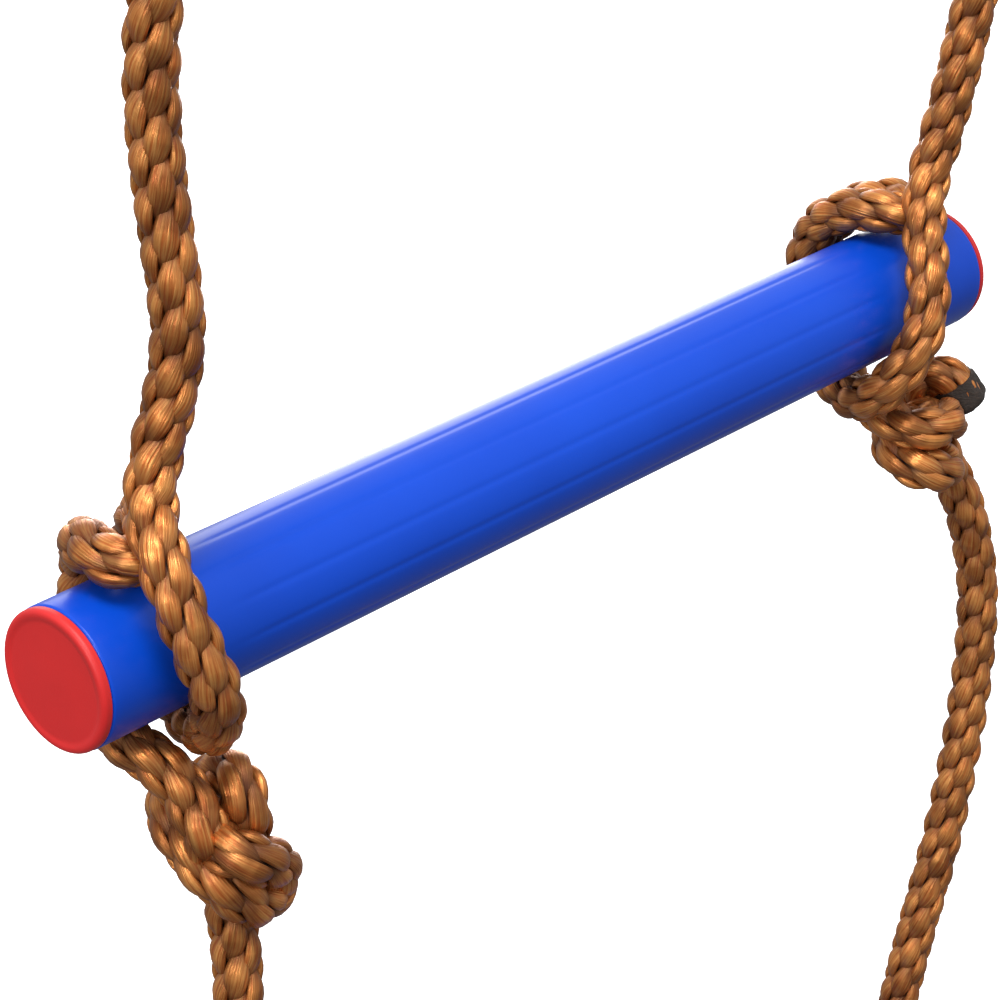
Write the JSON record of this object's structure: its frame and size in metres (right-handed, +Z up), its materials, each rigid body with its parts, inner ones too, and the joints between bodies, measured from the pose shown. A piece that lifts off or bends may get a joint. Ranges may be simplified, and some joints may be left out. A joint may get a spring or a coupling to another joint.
{
  "type": "escape rope ladder",
  "caption": "Rope ladder with smooth plastic rungs knotted between two side ropes, hung from a steel ring and snap hook.",
  "frame": {"origin": "seat of the snap hook: the underside of its top bow, where the ladder hangs", "axes": "+X along the rungs towards the right, -Y to the front, +Z up along the hanging ladder"},
  "size_m": [0.3309, 0.0616, 1.0613],
  "materials": {
    "rung_plastic": "glossy moulded royal blue",
    "cap_plastic": "satin moulded red",
    "rope": "braided shiny bronze-brown filament rope",
    "steel": "zinc-plated satin",
    "ring_steel": "zinc-plated satin, welded",
    "spring_wire": "drawn wire"
  },
  "bodies": {
    "snap_hook": {"hook_body": "steel", "gate_pin": "steel", "gate_spring": "spring_wire"},
    "gate": {"hook_gate": "steel"},
    "ring": {"top_ring": "ring_steel"},
    "bay_1": {"left_eye": "rope", "right_eye": "rope", "left_eye_knot": "rope", "right_eye_knot": "rope", "left_rope_1": "rope", "left_hitch_1": "rope", "left_knot_1": "rope", "right_rope_1": "rope", "right_hitch_1": "rope", "right_knot_1": "rope"},
    "rung_1": {"rung_tube_1": "rung_plastic", "left_cap_1": "cap_plastic", "right_cap_1": "cap_plastic"},
    "bay_2": {"left_rope_2": "rope", "left_hitch_2": "rope", "left_knot_2": "rope", "right_rope_2": "rope", "right_hitch_2": "rope", "right_knot_2": "rope"},
    "rung_2": {"rung_tube_2": "rung_plastic", "left_cap_2": "cap_plastic", "right_cap_2": "cap_plastic"},
    "bay_3": {"left_rope_3": "rope", "left_hitch_3": "rope", "left_knot_3": "rope", "right_rope_3": "rope", "right_hitch_3": "rope", "right_knot_3": "rope", "left_tail": "rope", "right_tail": "rope"},
    "rung_3": {"rung_tube_3": "rung_plastic", "left_cap_3": "cap_plastic", "right_cap_3": "cap_plastic"}
  },
  "joints": [
    {"name": "gate_pivot", "type": "hinge", "parent": "snap_hook", "child": "gate", "pos_m": [0.017, 0, -0.048], "axis": [0, 1, 0], "range_deg": [-25, 0], "stiffness_Nm_per_rad": 0.05, "springref_deg": 11.46},
    {"name": "ring_swing", "type": "hinge", "parent": "snap_hook", "child": "ring", "pos_m": [0, 0, -0.068], "axis": [1, 0, 0], "range_deg": [-50, 50]},
    {"name": "ladder_sway", "type": "hinge", "parent": "ring", "child": "bay_1", "pos_m": [0, 0, -0.1065], "axis": [0, 1, 0], "range_deg": [-25, 25]},
    {"name": "fold_2", "type": "hinge", "parent": "bay_1", "child": "bay_2", "pos_m": [0, -0.017, -0.412], "axis": [1, 0, 0], "range_deg": [-75, 75]},
    {"name": "fold_3", "type": "hinge", "parent": "bay_2", "child": "bay_3", "pos_m": [0, -0.017, -0.712], "axis": [1, 0, 0], "range_deg": [-75, 75]},
    {"name": "rung_roll_1", "type": "hinge", "parent": "bay_1", "child": "rung_1", "pos_m": [0, 0, -0.34], "axis": [1, 0, 0], "continuous": true},
    {"name": "rung_roll_2", "type": "hinge", "parent": "bay_2", "child": "rung_2", "pos_m": [0, 0, -0.64], "axis": [1, 0, 0], "continuous": true},
    {"name": "rung_roll_3", "type": "hinge", "parent": "bay_3", "child": "rung_3", "pos_m": [0, 0, -0.94], "axis": [1, 0, 0], "continuous": true}
  ]
}
